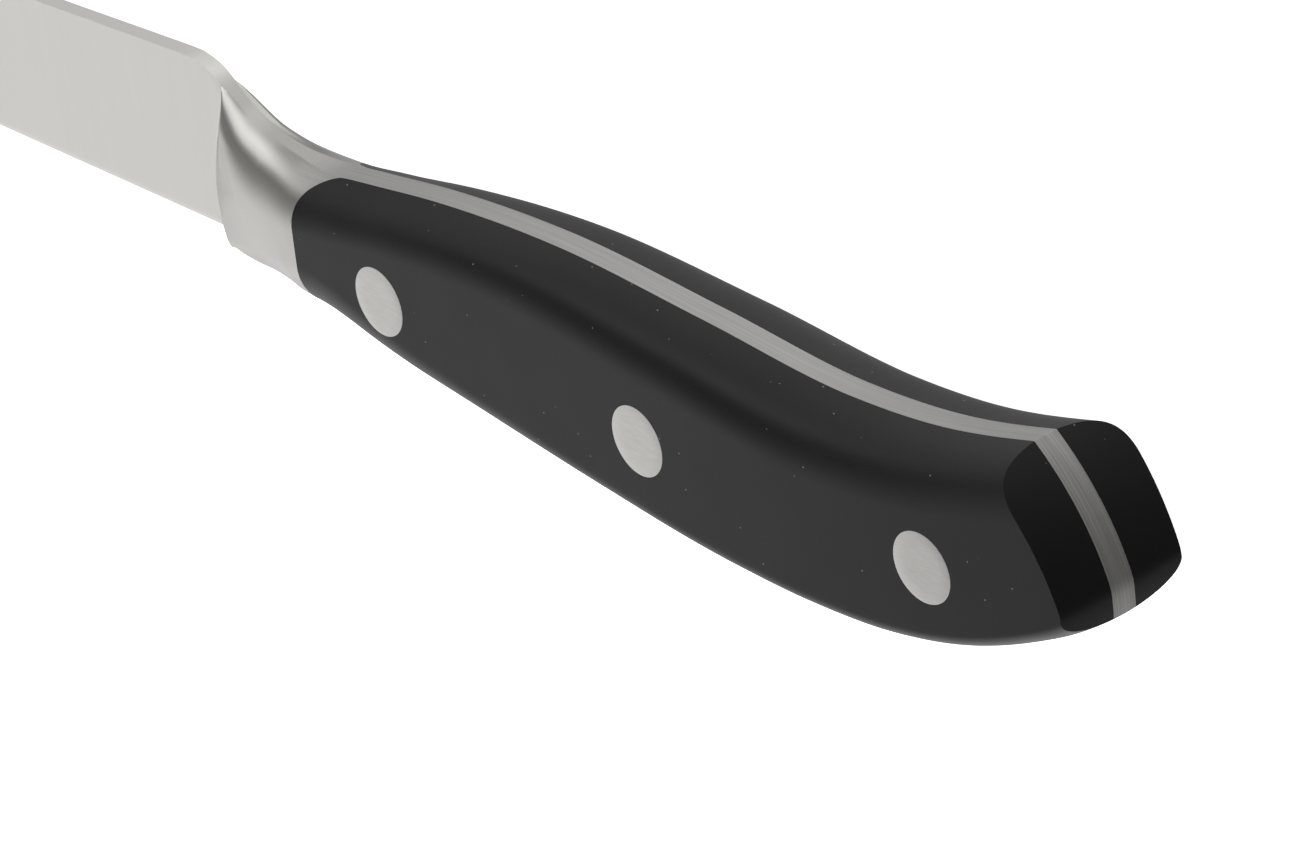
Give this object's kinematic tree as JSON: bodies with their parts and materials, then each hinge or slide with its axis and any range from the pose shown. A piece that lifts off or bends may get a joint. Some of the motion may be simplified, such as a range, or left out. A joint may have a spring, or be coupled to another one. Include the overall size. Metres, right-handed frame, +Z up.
{
  "type": "paring knife",
  "caption": "Small kitchen paring knife: forged straight-edged blade with half bolster and full tang, held between riveted black grip scales.",
  "frame": {"origin": "bottom centre of the bounding box, on the surface the knife lies on", "axes": "+X from the point to the butt, +Y from the cutting edge to the spine, +Z up; the knife lies on the flat of its right scale"},
  "size_m": [0.2014, 0.0238, 0.0152],
  "materials": {
    "blade_steel": "satin ground flanks, polished bolster",
    "scale_plastic": "satin moulded",
    "rivet_steel": "ground flush"
  },
  "bodies": {
    "root": {"forged_blade": "blade_steel", "left_scale": "scale_plastic", "right_scale": "scale_plastic", "front_rivet_socket": "rivet_steel", "front_rivet_pin": "rivet_steel", "middle_rivet_socket": "rivet_steel", "middle_rivet_pin": "rivet_steel", "rear_rivet_socket": "rivet_steel", "rear_rivet_pin": "rivet_steel"}
  },
  "joints": []
}
